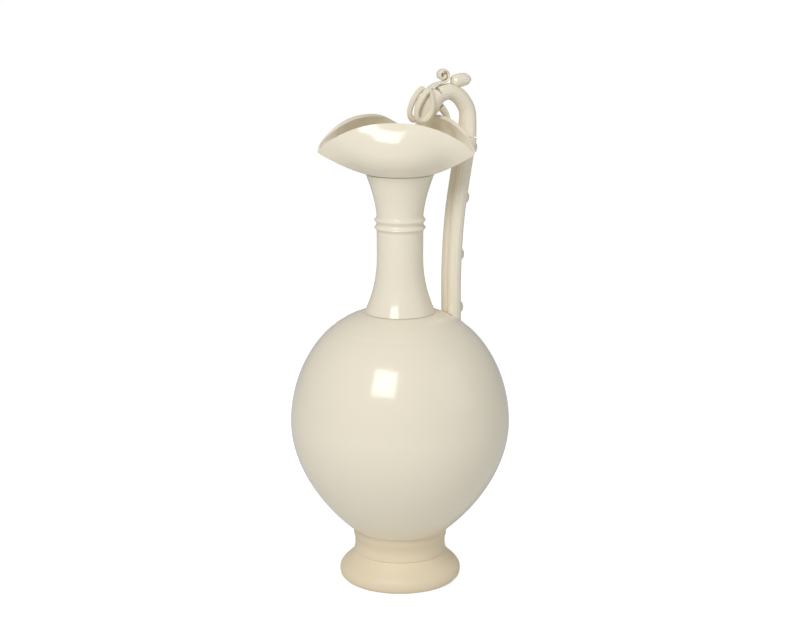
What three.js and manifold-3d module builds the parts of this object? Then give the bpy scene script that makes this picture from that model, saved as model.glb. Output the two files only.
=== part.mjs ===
// A straw-glazed stoneware ewer: splayed foot, ovoid body, ribbed neck, three-lobed folded mouth,
// and a double-strand handle that ends in a dragon's head biting the rim. Millimetres, +Z up.
// The origin is the centre of the foot's base; the handle stands on +X and the pouring corner on -X.
import * as THREE from "three";
import { mergeVertices } from "three/addons/utils/BufferGeometryUtils.js";
import Module from "manifold-3d";

const wasm = await Module();
wasm.setup();
const { Manifold, Mesh: SolidMesh } = wasm;

// Driving dimensions
const seat = 0.3; // gap where two luted pieces meet
const footBaseRadius = 38;
const footRimRadius = 42;
const footRimHeight = 7;
const footStemRadius = 31;
const footStemHeight = 19;
const footHeight = 36;
const footRecessRadius = 29;
const footRecessDepth = 14;
const bodyRadius = 75;
const bodyWidestHeight = 76; // above the foot
const bodyHeight = 152.7;
const bodyWall = 5;
const bodyFloor = 7;
const neckRadius = 15.5;
const neckFootRadius = 24;
const neckHeight = 94;
const neckTopRadius = 23;
const neckWall = 3.8;
const ribHeight = 60.4; // centre of the pair above the neck's foot
const ribDepth = 1.6;
const ribPitch = 5.2;
const mouthWall = 2.8;
const mouthSide = 31; // from the axis to the middle of a folded side
const mouthSquareness = 14; // higher draws the corners out further
const lobeBulge = 48;
const cornerBulge = 41;
const cornerRise = 17;
const lobeRise = 37;
const strandRadius = 4.8;
const strandSpacing = 9.4; // centre to centre
const handleFootReach = 39;
const handleWaistReach = 38.5;
const handleTopReach = 49.5;
const archRadius = 5.6;
const archTopReach = 35;
const archTopHeight = 336.5;
const bossRadius = 5.5;
const bossThickness = 6;
const bossSeat = 2.4; // how far the boss sits down in the groove between the strands
const scrollRadius = 5.7;
const scrollStrand = 2.2;
const scrollWidth = 3.6; // half width across the head
const knobLength = 14;
const knobRadius = 4.7;
const headHalfWidth = 6.6;
const lipStrand = 2.2;

const bodyFoot = footHeight + seat;
const bodyTop = bodyFoot + bodyHeight;
const neckFoot = bodyTop + seat;
const neckTop = neckFoot + neckHeight;
const mouthFoot = neckTop + seat;

const clay = new THREE.MeshStandardMaterial({ color: 0xe9d9b6, roughness: 0.3, metalness: 0 });
const bareClay = new THREE.MeshStandardMaterial({ color: 0xe6cfa6, roughness: 0.85, metalness: 0 });

// Solids
function solidOf(geometry) {
  const bare = new THREE.BufferGeometry().setAttribute("position", geometry.getAttribute("position").clone());
  if (geometry.index) bare.setIndex(geometry.index.clone());
  const merged = mergeVertices(bare, 1e-4);
  const solid = new Manifold(
    new SolidMesh({
      numProp: 3,
      vertProperties: merged.attributes.position.array,
      triVerts: new Uint32Array(merged.index.array),
    }),
  );
  return solid;
}

function geometryOf(solid) {
  const mesh = solid.getMesh();
  return new THREE.BufferGeometry()
    .setAttribute("position", new THREE.BufferAttribute(mesh.vertProperties, 3))
    .setIndex(new THREE.BufferAttribute(mesh.triVerts, 1));
}

// A solid whose faces point out, whichever way its rings were walked.
function facingOut(geometry) {
  const solid = solidOf(geometry);
  if (solid.volume() > 0) return solid;
  const turned = geometry.clone();
  turned.setIndex([...geometry.index.array].reverse());
  return solidOf(turned);
}

// Rings of equal length, joined in order and capped at both ends.
function loft(rings) {
  const count = rings[0].length;
  const points = rings.flat();
  const faces = [];
  for (let i = 0; i + 1 < rings.length; i++)
    for (let j = 0; j < count; j++) {
      const a = i * count + j;
      const b = i * count + ((j + 1) % count);
      faces.push(a, b, b + count, a, b + count, a + count);
    }
  const cap = (first, turned) => {
    const centre = points.length;
    const middle = new THREE.Vector3();
    for (let j = 0; j < count; j++) middle.addScaledVector(points[first + j], 1 / count);
    points.push(middle);
    for (let j = 0; j < count; j++) {
      const a = first + j;
      const b = first + ((j + 1) % count);
      faces.push(...(turned ? [centre, b, a] : [centre, a, b]));
    }
  };
  cap(0, true);
  cap((rings.length - 1) * count, false);
  const made = new THREE.BufferGeometry().setFromPoints(points);
  made.setIndex(faces);
  return facingOut(made);
}

// A rod in the handle's plane: path points [reach, height], shifted sideways, with a half width and half thickness.
function rod(path, steps, size, sideways = () => 0, sides = 12) {
  const rings = [];
  for (let i = 0; i <= steps; i++) {
    const share = i / steps;
    const at = path.getPointAt(share);
    const along = path.getTangentAt(share);
    const across = new THREE.Vector2(along.y, -along.x);
    const [thick, wide] = size(share);
    const ring = [];
    for (let j = 0; j < sides; j++) {
      const angle = (2 * Math.PI * j) / sides;
      const out = thick * Math.cos(angle);
      ring.push(
        new THREE.Vector3(at.x + across.x * out, sideways(share) + wide * Math.sin(angle), at.y + across.y * out),
      );
    }
    rings.push(ring);
  }
  return loft(rings);
}

const curve = (points) => new THREE.SplineCurve(points.map(([reach, height]) => new THREE.Vector2(reach, height)));
const lathe = (points, segments) =>
  facingOut(new THREE.LatheGeometry(points, segments).applyMatrix4(new THREE.Matrix4().makeRotationX(Math.PI / 2)));
const at = (radius, height) => new THREE.Vector2(radius, height);

// The body's outside: an egg, two quarter ovals that meet at the widest ring.
function bodyOutside(grow = 0, steps = 8) {
  const widest = bodyFoot + bodyWidestHeight;
  const lower = new THREE.CubicBezierCurve(
    at(footStemRadius + 2, bodyFoot),
    at(bodyRadius * 0.76, bodyFoot + 20),
    at(bodyRadius, widest - 28),
    at(bodyRadius, widest),
  );
  const upper = new THREE.CubicBezierCurve(
    at(bodyRadius, widest),
    at(bodyRadius, widest + 32),
    at(bodyRadius * 0.76, bodyTop - 8),
    at(neckFootRadius, bodyTop),
  );
  const outward = (line, share) => {
    const along = line.getTangent(share);
    return line.getPoint(share).add(at(along.y * grow, -along.x * grow));
  };
  const points = [];
  for (let i = 0; i < steps; i++) points.push(outward(lower, i / steps));
  for (let i = 0; i <= steps; i++) points.push(outward(upper, i / steps));
  return points;
}

function makeBody() {
  const outside = bodyOutside();
  const inside = bodyOutside(-bodyWall, 6)
    .filter((p) => p.y > bodyFoot + bodyFloor + 4 && p.y < bodyTop - bodyWall - 1)
    .reverse();
  const bore = neckFootRadius - neckWall;
  const points = [at(0, bodyFoot), ...outside, at(bore, bodyTop), at(bore, bodyTop - bodyWall)];
  points.push(...inside, at(0, bodyFoot + bodyFloor), at(0, bodyFoot));
  return lathe(points, 40);
}

function makeFoot() {
  const points = [
    at(0, footRecessDepth),
    at(footRecessRadius * 0.55, footRecessDepth - 1),
    at(footRecessRadius * 0.9, footRecessDepth * 0.5),
    at(footRecessRadius, 0),
    at(footBaseRadius, 0),
    at((footBaseRadius + footRimRadius) / 2 + 0.8, footRimHeight * 0.3),
    at(footRimRadius, footRimHeight * 0.8),
    at(footRimRadius - 0.6, footRimHeight + 1.4),
    at(footStemRadius + 5.2, (footRimHeight + footStemHeight) / 2 + 0.6),
    at(footStemRadius + 1.6, footStemHeight - 1.6),
    at(footStemRadius + 0.3, footStemHeight),
    at(footStemRadius, footStemHeight + 3),
    at(footStemRadius, footHeight - 6.5),
    at(footStemRadius + 1, footHeight - 5),
    at(footStemRadius + 1.1, footHeight - 0.8),
    at(footStemRadius + 0.5, footHeight),
    at(0, footHeight),
    at(0, footRecessDepth),
  ];
  return lathe(points, 32);
}

// The neck's radius at a share of its height, without the ribs: a waisted tube.
function neckRadiusAt(share) {
  const spreadLow = (neckFootRadius - neckRadius) * Math.max(0, 1 - share / 0.42) ** 2.2;
  const spreadHigh = (neckTopRadius - neckRadius - 0.4) * Math.max(0, (share - 0.7) / 0.3) ** 1.5;
  return neckRadius + 0.4 * share + spreadLow + spreadHigh;
}

function makeNeck() {
  const outside = [];
  const steps = 14;
  const ribSpan = ribPitch * 1.1;
  for (let i = 0; i <= steps; i++) {
    const height = (neckHeight * i) / steps;
    if (Math.abs(height - ribHeight) > ribSpan) outside.push([height, neckRadiusAt(height / neckHeight)]);
  }
  for (const side of [-1, 1])
    for (let i = 0; i <= 4; i++) {
      const lift = ribDepth * Math.sin((Math.PI * i) / 4);
      const height = ribHeight + side * ribPitch * 0.5 + (ribPitch * 0.47 * (i - 2)) / 2;
      outside.push([height, neckRadiusAt(height / neckHeight) + lift]);
    }
  outside.sort((a, b) => a[0] - b[0]);
  const points = outside.map(([height, radius]) => at(radius, neckFoot + height));
  for (let i = 10; i >= 0; i--)
    points.push(at(neckRadiusAt(i / 10) - neckWall, neckFoot + (neckHeight * i) / 10));
  points.push(points[0].clone());
  return lathe(points, 32);
}

// The mouth's plan is a triangle with rounded corners, one of them over the spout.
function rimReach(angle) {
  const sides = [0, 1, 2].map((k) => Math.max(0, Math.cos(angle - (k * 2 * Math.PI) / 3)) ** mouthSquareness);
  return mouthSide * sides.reduce((sum, side) => sum + side, 0) ** (-1 / mouthSquareness);
}

// 1 at the middle of a folded side and 0 at a corner.
function lobeShare(angle) {
  const third = (2 * Math.PI) / 3;
  const offSide = Math.abs(angle - Math.round(angle / third) * third);
  return 1 - (Math.tan(offSide) / Math.tan(third / 2)) ** 2.3;
}

// A point of the mouth's wall in its meridian plane; depth is how far inside the outer face.
function mouthPoint(angle, share, depth) {
  const lobe = lobeShare(angle);
  const rim = at(rimReach(angle), THREE.MathUtils.lerp(cornerRise, lobeRise, lobe));
  const pull = at(THREE.MathUtils.lerp(cornerBulge, lobeBulge, lobe), THREE.MathUtils.lerp(5.5, 12.5, lobe));
  const start = at(neckTopRadius, 0);
  const line = new THREE.QuadraticBezierCurve(start, pull, rim);
  const here = line.getPoint(share);
  const along = line.getTangent(share);
  here.x -= along.y * depth;
  here.y += along.x * depth * share;
  if (share === 0) here.x = neckTopRadius - depth;
  return new THREE.Vector3(here.x * Math.cos(angle), here.x * Math.sin(angle), mouthFoot + here.y);
}

function mouthShell(outer, inner, around = 60, up = 6) {
  const rings = [];
  const ring = (share, depth) => {
    const made = [];
    for (let j = 0; j < around; j++) made.push(mouthPoint((2 * Math.PI * j) / around, share, depth));
    return made;
  };
  for (let i = 0; i <= up; i++) rings.push(ring(i / up, outer));
  for (let i = up; i >= 0; i--) rings.push(ring(i / up, inner));
  const points = rings.flat();
  const faces = [];
  for (let i = 0; i < rings.length; i++)
    for (let j = 0; j < around; j++) {
      const next = (i + 1) % rings.length;
      const a = i * around + j;
      const b = i * around + ((j + 1) % around);
      faces.push(a, b, next * around + ((j + 1) % around), a, next * around + ((j + 1) % around), next * around + j);
    }
  const made = new THREE.BufferGeometry().setFromPoints(points);
  made.setIndex(faces);
  return facingOut(made);
}

// The handle's centre line, from inside the shoulder up to where its strands merge.
const mergeHeight = mouthFoot + 22;
const strandPath = curve([
  [handleFootReach, bodyTop - 20],
  [handleWaistReach, bodyTop + 22],
  [handleWaistReach + 2.2, bodyTop + 62],
  [handleTopReach - 3, neckTop + 6],
  [handleTopReach, mergeHeight],
]);
const archPath = curve([
  [handleTopReach, mergeHeight + 2 * seat],
  [handleTopReach + 0.5, archTopHeight - 15.5],
  [archTopReach + 12, archTopHeight - 8],
  [archTopReach + 6.5, archTopHeight - 2.2],
  [archTopReach, archTopHeight],
  [archTopReach - 6.5, archTopHeight - 2],
]);
const headPath = curve([
  [archTopReach - 6.8, archTopHeight - 2.2],
  [archTopReach - 12, archTopHeight - 6],
  [archTopReach - 17, archTopHeight - 12],
  [archTopReach - 21, archTopHeight - 19.5],
]);

const bodyGuard = lathe([at(0, bodyFoot), ...bodyOutside(seat), at(0, bodyTop + seat)], 40);
const grown = (solid) => [[seat, 0, 0], [-seat, 0, 0], [0, 0, seat], [0, 0, -seat]]
  .reduce((all, shift) => all.add(solid.translate(shift)), solid);
const mouthGuard = grown(mouthShell(-seat, mouthWall + seat));

function makeStrand(side) {
  const spacing = (strandSpacing / 2) * side;
  return rod(strandPath, 14, () => [strandRadius, strandSpacing / 2 - seat / 2], () => spacing).subtract(bodyGuard);
}

function makeBoss(share) {
  const point = strandPath.getPointAt(share);
  const along = strandPath.getTangentAt(share);
  const dome = new THREE.LatheGeometry(
    [at(0, 0), at(bossRadius, 0), at(bossRadius * 0.94, bossThickness * 0.5), at(bossRadius * 0.6, bossThickness * 0.9),
      at(0, bossThickness)],
    16,
  );
  const out = new THREE.Vector3(along.y, 0, -along.x);
  dome.applyQuaternion(new THREE.Quaternion().setFromUnitVectors(new THREE.Vector3(0, 1, 0), out));
  const lift = strandRadius - bossSeat;
  return facingOut(dome.translate(point.x + out.x * lift, 0, point.y + out.z * lift)).subtract(bodyGuard);
}

const arch = rod(archPath, 12, (share) => [archRadius, archRadius + (strandSpacing - archRadius) * Math.max(0, 1 - 2.2 * share)],
  () => 0, 16);
const headForm = rod(headPath, 10, (share) => [archRadius + 4 * Math.sin(Math.PI * share) - 2.5 * share, headHalfWidth * (1 - 0.4 * share ** 2)],
  () => 0, 18);

// A rolled clay lip on each cheek: a closed teardrop ring round a hollow.
function makeLip(side) {
  const centre = at(archTopReach - 19, archTopHeight - 8.5);
  const rings = [];
  const steps = 24;
  for (let i = 0; i < steps; i++) {
    const angle = (2 * Math.PI * i) / steps;
    const middle = at(centre.x + 5.2 * Math.cos(angle) * (1 - 0.35 * Math.sin(angle)) + 2.4 * Math.sin(angle), centre.y + 10 * Math.sin(angle));
    const out = at(Math.cos(angle), Math.sin(angle));
    const ring = [];
    for (let j = 0; j < 8; j++) {
      const turn = (2 * Math.PI * j) / 8;
      const swell = lipStrand * Math.cos(turn);
      ring.push(new THREE.Vector3(middle.x + out.x * swell, side * (headHalfWidth * 0.62 + lipStrand * (0.6 + Math.sin(turn))),
        middle.y + out.y * swell));
    }
    rings.push(ring);
  }
  const points = rings.flat();
  const faces = [];
  for (let i = 0; i < steps; i++)
    for (let j = 0; j < 8; j++) {
      const next = (i + 1) % steps;
      const k = (j + 1) % 8;
      faces.push(i * 8 + j, i * 8 + k, next * 8 + k, i * 8 + j, next * 8 + k, next * 8 + j);
    }
  const made = new THREE.BufferGeometry().setFromPoints(points);
  made.setIndex(faces);
  return facingOut(made).subtract(mouthGuard);
}

// The horn: a strip that rises from the brow and rolls up into a spiral of one and a half turns.
function makeHorn() {
  const scrollCentre = at(archTopReach - 4, archTopHeight + archRadius + seat + scrollRadius - 0.8);
  const points = [
    [scrollCentre.x - 12.5, archTopHeight + 0.5],
    [scrollCentre.x - 6.5, archTopHeight + 4.5],
  ];
  const turns = 1.4;
  for (let i = 0; i <= 14; i++) {
    const turn = -Math.PI / 2 + (i / 14) * turns * 2 * Math.PI;
    const radius = scrollRadius - scrollStrand / 2 - (scrollStrand + 0.4) * turns * (i / 14);
    points.push([scrollCentre.x + radius * Math.cos(turn), scrollCentre.y + radius * Math.sin(turn)]);
  }
  const size = (share) => [scrollStrand / 2, scrollWidth * (0.8 + 0.2 * share)];
  return rod(curve(points), 32, size, () => 0, 8);
}

const horn = makeHorn();
const knob = makeKnob();
const lips = [makeLip(-1), makeLip(1)];

function makeKnob() {
  const start = at(archTopReach + 4.4, archTopHeight + 6.8);
  const path = curve([[start.x - 2, start.y - 1], [start.x + knobLength / 2, start.y + 0.4], [start.x + knobLength - 3, start.y - 2.4]]);
  return rod(path, 10, (share) => {
    const round = Math.sqrt(Math.max(0.04, 1 - (2 * share - 1) ** 4));
    return [knobRadius * round, knobRadius * round];
  }, () => 0, 14);
}

const jawForm = rod(
  curve([[mouthSide - 1.5, mouthFoot + lobeRise + 6], [mouthSide + 2.2, mouthFoot + lobeRise + 1.5],
    [mouthSide + 4.6, mouthFoot + lobeRise - 4]]),
  6, (share) => [2.4 - share, 5.5 - 2 * share], () => 0, 12,
);

const ewer = new THREE.Group();
function addPiece(name, solid, material = clay) {
  const mesh = new THREE.Mesh(geometryOf(solid.decompose().sort((a, b) => b.volume() - a.volume())[0]), material);
  mesh.name = name;
  ewer.add(mesh);
}

addPiece("foot", makeFoot(), bareClay);
addPiece("body", makeBody());
addPiece("neck", makeNeck());
addPiece("mouth", mouthShell(0, mouthWall));
addPiece("handle_strand_left", makeStrand(-1).subtract(grown(arch)).subtract(mouthGuard));
addPiece("handle_strand_right", makeStrand(1).subtract(grown(arch)).subtract(mouthGuard));
[0.95, 0.7, 0.41, 0.14].forEach((share, i) => addPiece("handle_boss_" + (i + 1), makeBoss(share).subtract(grown(arch)).subtract(grown(makeStrand(-1))).subtract(grown(makeStrand(1)))));
addPiece("dragon_neck", arch.subtract(mouthGuard));
addPiece("dragon_head", headForm.subtract(mouthGuard).subtract(grown(arch)));
addPiece("dragon_lip_left", lips[0].subtract(grown(headForm)));
addPiece("dragon_lip_right", lips[1].subtract(grown(headForm)));
addPiece("dragon_horn", horn.subtract(grown(arch)).subtract(grown(headForm)));
addPiece("dragon_mane_knob", knob.subtract(grown(arch)).subtract(grown(horn)));
addPiece("dragon_lower_jaw", jawForm.subtract(mouthGuard).subtract(grown(headForm)).subtract(grown(arch)));

export default ewer;
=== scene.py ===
"""A ewer with a dragon handle, on a white floor."""
import math

import bpy
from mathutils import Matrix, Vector


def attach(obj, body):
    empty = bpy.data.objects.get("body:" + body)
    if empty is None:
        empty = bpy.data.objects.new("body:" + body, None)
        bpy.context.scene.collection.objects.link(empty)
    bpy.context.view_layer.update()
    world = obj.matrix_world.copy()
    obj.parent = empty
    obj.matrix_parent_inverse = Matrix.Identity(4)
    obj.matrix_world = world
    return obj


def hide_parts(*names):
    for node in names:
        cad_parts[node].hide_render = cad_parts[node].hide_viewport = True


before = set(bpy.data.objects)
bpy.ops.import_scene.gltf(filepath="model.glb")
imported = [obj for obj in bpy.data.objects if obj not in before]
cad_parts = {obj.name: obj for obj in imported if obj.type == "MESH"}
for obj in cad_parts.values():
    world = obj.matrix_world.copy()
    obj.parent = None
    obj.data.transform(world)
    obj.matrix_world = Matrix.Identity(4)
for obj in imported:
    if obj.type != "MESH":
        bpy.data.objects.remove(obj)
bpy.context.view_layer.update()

bl_info = {
    "name": "Dragon-handled ewer",
    "version": (1, 0, 0),
    "blender": (4, 5, 0),
    "location": "3D Viewport > Sidebar > Ewer",
    "description": "Builds a ewer with a dragon handle and its studio",
    "category": "Object",
}

THROWN = ("foot", "body", "neck", "mouth")
HANDLE = ("handle_strand_left", "handle_strand_right", "dragon_neck")
HEAD = (
    "dragon_head",
    "dragon_lip_left",
    "dragon_lip_right",
    "dragon_horn",
    "dragon_mane_knob",
    "dragon_lower_jaw",
)
BOSSES = ("handle_boss_1", "handle_boss_2", "handle_boss_3", "handle_boss_4")

# Sizes of the clay forms, in millimetres: heights are above the floor, radii from the ewer's axis.
MM = 0.001
TURNED_SIDES = 160
AXIS_RADIUS = 0.01

BODY_FOOT = 36.3
BODY_WIDEST = 112.3
BODY_TOP = 189.0
BODY_RADIUS = 75
BODY_FOOT_RADIUS = 33
BODY_SWELL_RADIUS = 57
BODY_LOWER_RISE = 20
BODY_LOWER_DROP = 28
BODY_UPPER_RISE = 32
BODY_UPPER_DROP = 8
BODY_WALL = 5
BODY_FLOOR = 7
BODY_BORE = 20.2
BORE_DEPTH = 6
GROOVE_RADII = (41, 47)
GROOVE_DEPTH = 0.5
GROOVE_WIDTH = 0.8

NECK_FOOT = 189.3
NECK_HEIGHT = 94.0
NECK_FOOT_RADIUS = 24
NECK_RADIUS = 15.5
NECK_TAPER = 0.4
NECK_LOW_SPREAD = 8.5
NECK_HIGH_SPREAD = 7.1
NECK_WALL = 3.8
RIB_HEIGHTS = (57.8, 63.0)
RIB_DEPTH = 1.6
RIB_WIDTH = 1.3

MOUTH_FOOT = 283.6
MOUTH_FOOT_RADIUS = 23
MOUTH_WALL = 2.8
MOUTH_SIDE = 31
MOUTH_SQUARENESS = 14
CORNER_RISE = 17
LOBE_LIFT = 20
CORNER_BULGE = 41
LOBE_BULGE = 7
BULGE_RISE = 5.5
BULGE_LIFT = 7
LOBE_POWER = 2.3


def bezier(points, share):
    """A point of a Bezier curve of any degree."""
    points = [Vector(point) for point in points]
    while len(points) > 1:
        points = [start.lerp(end, share) for start, end in zip(points, points[1:])]
    return points[0]


def groove_depth(radius):
    """How deep the two fine grooves on the shoulder cut at a radius."""
    return sum(GROOVE_DEPTH * math.exp(-(((radius - middle) / GROOVE_WIDTH) ** 2)) for middle in GROOVE_RADII)


def body_profile():
    """The ovoid body's section: outside, bore, then the inside back to the axis."""
    lower = [
        (BODY_FOOT_RADIUS, BODY_FOOT),
        (BODY_SWELL_RADIUS, BODY_FOOT + BODY_LOWER_RISE),
        (BODY_RADIUS, BODY_WIDEST - BODY_LOWER_DROP),
        (BODY_RADIUS, BODY_WIDEST),
    ]
    upper = [
        (BODY_RADIUS, BODY_WIDEST),
        (BODY_RADIUS, BODY_WIDEST + BODY_UPPER_RISE),
        (BODY_SWELL_RADIUS, BODY_TOP - BODY_UPPER_DROP),
        (NECK_FOOT_RADIUS, BODY_TOP),
    ]
    outside = [bezier(lower, i / 40) for i in range(40)] + [bezier(upper, i / 50) for i in range(51)]
    grooved = []
    for point in outside:
        cut = groove_depth(point.x) if point.y > BODY_WIDEST else 0
        grooved.append((point.x, point.y - cut))
    lowest = BODY_FOOT + BODY_FLOOR + BODY_WALL
    highest = BODY_TOP - BODY_FLOOR
    inside = [
        (point.x - BODY_WALL, point.y)
        for point in reversed(outside)
        if lowest < point.y < highest and point.x > NECK_FOOT_RADIUS + 2
    ]
    bore = [(BODY_BORE, BODY_TOP), (BODY_BORE, BODY_TOP - BORE_DEPTH)]
    return [(0, BODY_FOOT), *grooved, *bore, *inside, (0, BODY_FOOT + BODY_FLOOR)]


def neck_radius(height):
    """The waisted tube's outer radius at a height above its foot, without the ribs."""
    share = height / NECK_HEIGHT
    low = NECK_LOW_SPREAD * max(0, 1 - share / 0.42) ** 2.2
    high = NECK_HIGH_SPREAD * max(0, (share - 0.7) / 0.3) ** 1.5
    return NECK_RADIUS + NECK_TAPER * share + low + high


def rib_depth(height):
    """How far the pair of turned ribs stands out at a height above the neck's foot."""
    return sum(RIB_DEPTH * math.exp(-(((height - middle) / RIB_WIDTH) ** 2)) for middle in RIB_HEIGHTS)


def neck_profile():
    """The neck's section: up the outside and down the bore."""
    section = []
    for i in range(141):
        height = NECK_HEIGHT * i / 140
        section.append((neck_radius(height) + rib_depth(height), NECK_FOOT + height))
    for i in range(30, -1, -1):
        height = NECK_HEIGHT * i / 30
        section.append((neck_radius(height) - NECK_WALL, NECK_FOOT + height))
    return section


def foot_profile():
    """The splayed foot's section: recess and resting ring, rounded rim, turned groove, stem and ledge."""
    underside = [(0, 14), (16, 13), (26, 7), (29, 0), (38, 0), (40, 0.7)]
    rim = [(41.5, 2.3), (43.2, 7.5), (41.0, 9.6), (36.0, 13.8)]
    groove = [(33.5, 16.6), (31.9, 18.6), (31.4, 19.2), (31.9, 20.0)]
    stem_and_ledge = [(31.3, 23), (31.2, 29.3), (32.0, 30.4), (32.3, 33), (31.9, 36), (0, 36)]
    rounded = [tuple(bezier(rim, i / 12)) for i in range(13)]
    return [*underside, *rounded, *groove, *stem_and_ledge]


def mesh_of(rings):
    """A mesh of rings of equal length, in millimetres, with the last ring joined to the first."""
    points = [tuple(value * MM for value in point) for ring in rings for point in ring]
    count = len(rings[0])
    faces = []
    for i in range(len(rings)):
        start = i * count
        other = ((i + 1) % len(rings)) * count
        for j in range(count):
            k = (j + 1) % count
            faces.append((start + j, start + k, other + k, other + j))
    mesh = bpy.data.meshes.new("clay form")
    mesh.from_pydata(points, [], faces)
    mesh.update()
    return mesh


def turned(profile):
    """A form thrown on the wheel, from a section of (radius, height). A pinhole is left at the axis."""
    turns = [2 * math.pi * j / TURNED_SIDES for j in range(TURNED_SIDES)]
    rings = []
    for radius, height in profile:
        radius = max(radius, AXIS_RADIUS)
        rings.append([(radius * math.cos(turn), radius * math.sin(turn), height) for turn in turns])
    return mesh_of(rings)


def mouth_point(angle, share, depth):
    """A point of the folded mouth: share runs up the wall, and depth is how far inside its outer face."""
    third = 2 * math.pi / 3
    off_side = abs(angle - round(angle / third) * third)
    lobe = 1 - (math.tan(off_side) / math.tan(third / 2)) ** LOBE_POWER
    sides = sum(max(0, math.cos(angle - k * third)) ** MOUTH_SQUARENESS for k in range(3))
    foot = Vector((MOUTH_FOOT_RADIUS, 0))
    pull = Vector((CORNER_BULGE + LOBE_BULGE * lobe, BULGE_RISE + BULGE_LIFT * lobe))
    rim = Vector((MOUTH_SIDE * sides ** (-1 / MOUTH_SQUARENESS), CORNER_RISE + LOBE_LIFT * lobe))
    here = bezier([foot, pull, rim], share)
    along = (bezier([pull, rim], share) - bezier([foot, pull], share)).normalized()
    here += Vector((-along.y * depth, along.x * depth * share))
    if share == 0:
        here = Vector((MOUTH_FOOT_RADIUS - depth, 0))
    return here.x * math.cos(angle), here.x * math.sin(angle), MOUTH_FOOT + here.y


def folded_mouth():
    """The mouth's wall: up its outer face, over the rim and down its inner face."""
    around = 300
    up = 24
    outer = [(i / up, 0) for i in range(up + 1)]
    rim = [(1, MOUTH_WALL * i / 4) for i in range(1, 4)]
    inner = [(i / up, MOUTH_WALL) for i in range(up, -1, -1)]
    angles = [2 * math.pi * j / around for j in range(around)]
    return mesh_of([[mouth_point(angle, *stop) for angle in angles] for stop in outer + rim + inner])


FINE_FORMS = {
    "body": lambda: turned(body_profile()),
    "neck": lambda: turned(neck_profile()),
    "foot": lambda: turned(foot_profile()),
    "mouth": folded_mouth,
}


def shading_tree():
    """A Geometry Nodes rule: smooth shading, edges sharper than the crease angle kept, one material set."""
    name = "soften clay"
    if name in bpy.data.node_groups:
        return bpy.data.node_groups[name]
    tree = bpy.data.node_groups.new(name, "GeometryNodeTree")
    face = tree.interface
    face.new_socket("Geometry", in_out="INPUT", socket_type="NodeSocketGeometry")
    face.new_socket("Crease angle", in_out="INPUT", socket_type="NodeSocketFloat")
    face.new_socket("Clay", in_out="INPUT", socket_type="NodeSocketMaterial")
    face.new_socket("Geometry", in_out="OUTPUT", socket_type="NodeSocketGeometry")
    start = tree.nodes.new("NodeGroupInput")
    end = tree.nodes.new("NodeGroupOutput")
    angle = tree.nodes.new("GeometryNodeInputMeshEdgeAngle")
    under = tree.nodes.new("FunctionNodeCompare")
    under.data_type = "FLOAT"
    under.operation = "LESS_THAN"
    faces = tree.nodes.new("GeometryNodeSetShadeSmooth")
    faces.domain = "FACE"
    edges = tree.nodes.new("GeometryNodeSetShadeSmooth")
    edges.domain = "EDGE"
    realize = tree.nodes.new("GeometryNodeRealizeInstances")
    dress = tree.nodes.new("GeometryNodeSetMaterial")
    link = tree.links.new
    link(angle.outputs["Unsigned Angle"], under.inputs[0])
    link(start.outputs["Crease angle"], under.inputs[1])
    link(start.outputs["Geometry"], faces.inputs["Geometry"])
    link(faces.outputs["Geometry"], edges.inputs["Geometry"])
    link(under.outputs["Result"], edges.inputs["Shade Smooth"])
    link(edges.outputs["Geometry"], realize.inputs["Geometry"])
    link(realize.outputs["Geometry"], dress.inputs["Geometry"])
    link(start.outputs["Clay"], dress.inputs["Material"])
    link(dress.outputs["Geometry"], end.inputs["Geometry"])
    return tree


def build_piece(node, settings):
    """One clay piece: a fine form where a formula gives it, and otherwise a copy of the part's own mesh.

    It wears the plain material that came with the part for its slot.
    """
    slot = "bare_clay" if node == "foot" else "glaze"
    form = FINE_FORMS[node]() if node in FINE_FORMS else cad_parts[node].data.copy()
    piece = bpy.data.objects.new("ewer_" + node, form)
    bpy.context.scene.collection.objects.link(piece)
    piece.data.materials.clear()
    tree = shading_tree()
    modifier = piece.modifiers.new("soften", "NODES")
    modifier.node_group = tree
    inputs = {item.name: item.identifier for item in tree.interface.items_tree if item.in_out == "INPUT"}
    modifier[inputs["Crease angle"]] = settings.crease_angle
    modifier[inputs["Clay"]] = bpy.data.materials[slot]
    evaluated = piece.evaluated_get(bpy.context.evaluated_depsgraph_get())
    finished = bpy.data.meshes.new_from_object(evaluated)
    piece.modifiers.clear()
    piece.data = finished
    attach(piece, "root")
    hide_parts(node)
    return piece


class EwerSettings(bpy.types.PropertyGroup):
    """Shading, light and lens of the ewer's picture."""

    crease_angle: bpy.props.FloatProperty(
        name="Crease angle", description="Edges sharper than this stay sharp", default=0.7, subtype="ANGLE"
    )
    key_power: bpy.props.FloatProperty(
        name="Key lamp", description="Power of the key lamp in watts", default=13.0, subtype="POWER"
    )
    lens: bpy.props.FloatProperty(
        name="Lens", description="Focal length of the camera in millimetres", default=78.2, unit="CAMERA"
    )


class EWER_OT_thrown_forms(bpy.types.Operator):
    """Build the foot, body, neck and folded mouth"""

    bl_idname = "ewer.thrown_forms"
    bl_label = "Build Thrown Forms"

    def execute(self, context):
        for node in THROWN:
            build_piece(node, context.scene.ewer)
        return {"FINISHED"}


class EWER_OT_handle(bpy.types.Operator):
    """Build the two rolled strands of the handle and its arch"""

    bl_idname = "ewer.handle"
    bl_label = "Build Handle"

    def execute(self, context):
        for node in HANDLE:
            build_piece(node, context.scene.ewer)
        return {"FINISHED"}


class EWER_OT_bosses(bpy.types.Operator):
    """Build the domed bosses down the handle's back"""

    bl_idname = "ewer.bosses"
    bl_label = "Build Bosses"

    def execute(self, context):
        for node in BOSSES:
            build_piece(node, context.scene.ewer)
        return {"FINISHED"}


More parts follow.
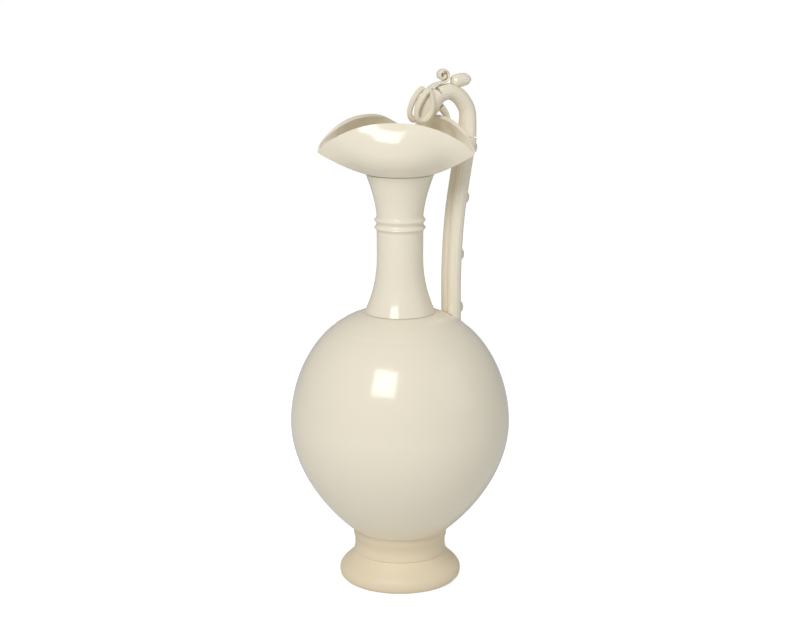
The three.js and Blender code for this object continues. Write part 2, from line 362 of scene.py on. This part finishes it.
class EWER_OT_dragon(bpy.types.Operator):
    """Build the dragon's head with its lips, jaw, horn and mane"""

    bl_idname = "ewer.dragon"
    bl_label = "Build Dragon"

    def execute(self, context):
        for node in HEAD:
            build_piece(node, context.scene.ewer)
        return {"FINISHED"}


# The stage, in metres.
FLOOR_SIZE = 400.0
FLOOR_WHITE = (0.9, 0.9, 0.9, 1)
FLOOR_GLOW = 0.65
LAMP_AIM = (0, 0, 0.17)
KEY_PLACE = (-0.9, -0.9, 1.2)
KEY_SIZE = 0.7
FILL_PLACE = (0.9, -1.0, 0.8)
FILL_SIZE = 1.0
FILL_SHARE = 0.1
WORLD_STRENGTH = 0.4
CAMERA_PLACE = (-0.477, -1.046, 0.455)
CAMERA_AIM = (0.0, 0.0, 0.183)


def facing(place, aim):
    """The rotation of a lamp or camera at place that looks at aim."""
    return (Vector(aim) - Vector(place)).to_track_quat("-Z", "Y").to_euler()


def add_lamp(name, place, size, power):
    data = bpy.data.lights.new(name, "AREA")
    data.energy = power
    data.size = size
    lamp = bpy.data.objects.new(name, data)
    lamp.location = place
    lamp.rotation_euler = facing(place, LAMP_AIM)
    bpy.context.scene.collection.objects.link(lamp)
    return lamp


def white_floor():
    """A white floor that also glows, but only to the camera, so that it lights nothing."""
    material = bpy.data.materials.new("white floor")
    material.use_nodes = True
    tree = material.node_tree
    shader = tree.nodes["Principled BSDF"]
    path = tree.nodes.new("ShaderNodeLightPath")
    glow = tree.nodes.new("ShaderNodeMath")
    glow.operation = "MULTIPLY"
    glow.inputs[1].default_value = FLOOR_GLOW
    tree.links.new(path.outputs["Is Camera Ray"], glow.inputs[0])
    tree.links.new(glow.outputs[0], shader.inputs["Emission Strength"])
    shader.inputs["Emission Color"].default_value = (1, 1, 1, 1)
    shader.inputs["Base Color"].default_value = FLOOR_WHITE
    shader.inputs["Roughness"].default_value = 0.9
    bpy.ops.mesh.primitive_plane_add(size=FLOOR_SIZE, location=(0, 0, 0))
    floor = bpy.context.active_object
    floor.name = "floor"
    floor.data.materials.append(material)
    return floor


class EWER_OT_stage(bpy.types.Operator):
    """Set up the white floor, soft lamps and camera"""

    bl_idname = "ewer.stage"
    bl_label = "Set Up Stage"

    def execute(self, context):
        scene = context.scene
        settings = scene.ewer
        white_floor()
        add_lamp("key", KEY_PLACE, KEY_SIZE, settings.key_power)
        add_lamp("fill", FILL_PLACE, FILL_SIZE, settings.key_power * FILL_SHARE)
        world = bpy.data.worlds.new("studio")
        world.use_nodes = True
        background = world.node_tree.nodes["Background"]
        background.inputs["Color"].default_value = (1, 1, 1, 1)
        background.inputs["Strength"].default_value = WORLD_STRENGTH
        scene.world = world
        data = bpy.data.cameras.new("camera")
        data.lens = settings.lens
        camera = bpy.data.objects.new("camera", data)
        camera.location = CAMERA_PLACE
        camera.rotation_euler = facing(CAMERA_PLACE, CAMERA_AIM)
        scene.collection.objects.link(camera)
        scene.camera = camera
        scene.view_settings.view_transform = "Standard"
        return {"FINISHED"}


class EWER_PT_panel(bpy.types.Panel):
    """Ewer tools in the sidebar"""

    bl_idname = "EWER_PT_panel"
    bl_label = "Ewer"
    bl_space_type = "VIEW_3D"
    bl_region_type = "UI"
    bl_category = "Ewer"

    def draw(self, context):
        for name in EwerSettings.__annotations__:
            self.layout.prop(context.scene.ewer, name)
        for operator in OPERATORS:
            self.layout.operator(operator.bl_idname)


OPERATORS = (EWER_OT_thrown_forms, EWER_OT_handle, EWER_OT_bosses, EWER_OT_dragon, EWER_OT_stage)
CLASSES = (EwerSettings, *OPERATORS, EWER_PT_panel)


def register():
    for cls in CLASSES:
        bpy.utils.register_class(cls)
    bpy.types.Scene.ewer = bpy.props.PointerProperty(type=EwerSettings)


def unregister():
    del bpy.types.Scene.ewer
    for cls in reversed(CLASSES):
        bpy.utils.unregister_class(cls)


def main():
    register()
    bpy.ops.ewer.thrown_forms()
    bpy.ops.ewer.handle()
    bpy.ops.ewer.bosses()
    bpy.ops.ewer.dragon()
    bpy.ops.ewer.stage()


if __name__ == "__main__":
    main()
